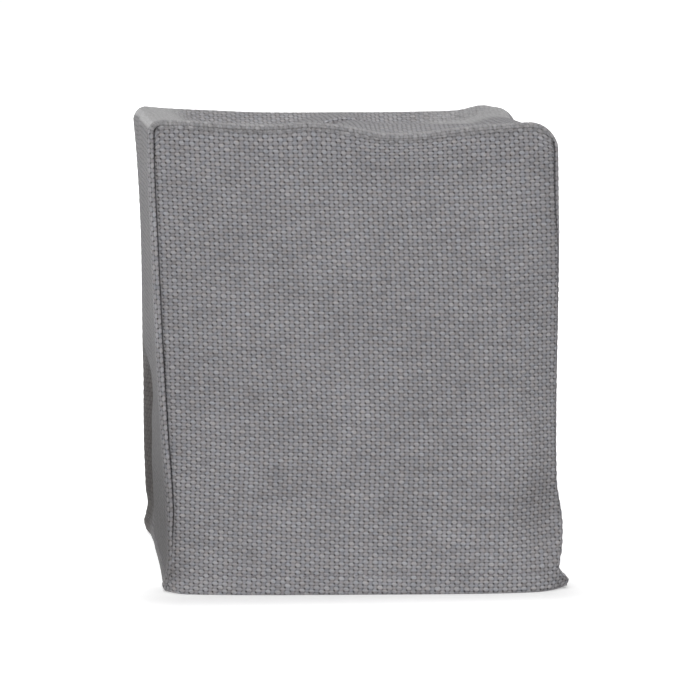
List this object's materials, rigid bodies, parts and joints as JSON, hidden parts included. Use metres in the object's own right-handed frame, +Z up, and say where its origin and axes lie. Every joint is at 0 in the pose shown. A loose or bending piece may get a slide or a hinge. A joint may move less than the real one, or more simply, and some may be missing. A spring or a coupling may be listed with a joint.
{
  "type": "tissue box cover",
  "caption": "Soft upright cover of coarse grey woven cloth for a cube box of tissues, open at the bottom, with a long slot in its top.",
  "frame": {"origin": "middle of the cover at the level of the surface that it stands on", "axes": "+Z up, -Y towards the front panel, +X to the right seen from the front"},
  "size_m": [0.123, 0.1324, 0.137],
  "materials": {
    "cloth": "coarse plain weave, matte"
  },
  "bodies": {
    "root": {"front_panel": "cloth", "back_panel": "cloth", "gusset": "cloth"}
  },
  "joints": []
}
